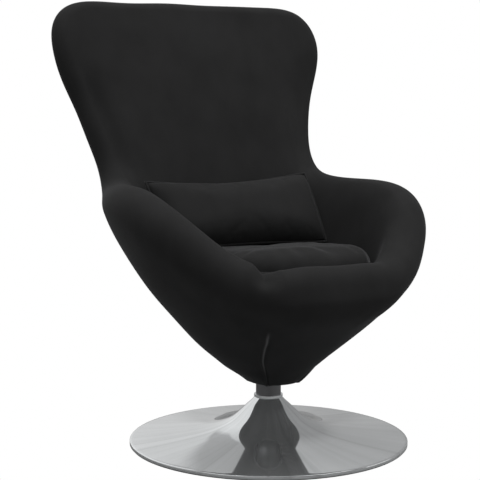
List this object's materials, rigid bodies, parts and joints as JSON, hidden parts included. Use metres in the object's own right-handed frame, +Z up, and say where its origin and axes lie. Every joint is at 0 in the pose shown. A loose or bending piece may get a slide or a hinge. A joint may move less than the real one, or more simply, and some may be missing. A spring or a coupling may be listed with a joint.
{
  "type": "egg chair",
  "caption": "Upholstered egg-shaped lounge chair: padded bucket shell with wings, loose seat cushion and lumbar pillow, swivelling on a column over a round trumpet base.",
  "frame": {"origin": "on the floor, on the axis of the column and of the swivel", "axes": "+Z up along the column, -Y the way a sitter faces, +X the chair's own symmetry normal, to the left of a sitter"},
  "size_m": [0.6932, 0.7437, 0.96],
  "materials": {
    "shell_velvet": "short-pile charcoal velvet over foam",
    "cushion_velvet": "short-pile charcoal velvet with self piping",
    "deck_foam": "open-cell foam",
    "zip_tape": "woven tape",
    "hem_trim": "moulded, matt black",
    "plywood": "birch plywood, unfinished",
    "polished_base": "spun and polished, chromed",
    "column_steel": "satin dark chrome",
    "black_plate": "black powder coat",
    "turned_steel": "turned",
    "zinc_fasteners": "bright zinc plate",
    "bearing_plastic": "natural acetal",
    "black_rubber": "moulded"
  },
  "bodies": {
    "base": {"floor_ring": "black_rubber", "base_plate": "black_plate", "base_trumpet": "polished_base", "column_bolt": "zinc_fasteners", "column_plug": "turned_steel", "column_tube": "column_steel", "collar_ring": "polished_base", "column_sleeve": "bearing_plastic"},
    "seat": {"thrust_washer": "bearing_plastic", "spindle": "turned_steel", "retaining_clip": "zinc_fasteners", "mount_plate": "black_plate", "plate_bolts": "zinc_fasteners", "seat_board": "plywood", "deck_pad": "deck_foam", "seat_shell": "shell_velvet", "hem_ring": "hem_trim"},
    "cushion": {"seat_cushion": "cushion_velvet", "cushion_zip": "zip_tape"},
    "pillow": {"lumbar_pillow": "cushion_velvet"}
  },
  "joints": [
    {"name": "seat_swivel", "type": "hinge", "parent": "base", "child": "seat", "pos_m": [0, 0, 0.249], "axis": [0, 0, 1], "continuous": true},
    {"name": "cushion_lift", "type": "slide", "parent": "seat", "child": "cushion", "axis": [0, 0, 1], "range_m": [0, 0.12]},
    {"name": "pillow_lift", "type": "slide", "parent": "cushion", "child": "pillow", "axis": [0, 0, 1], "range_m": [0, 0.16]}
  ]
}
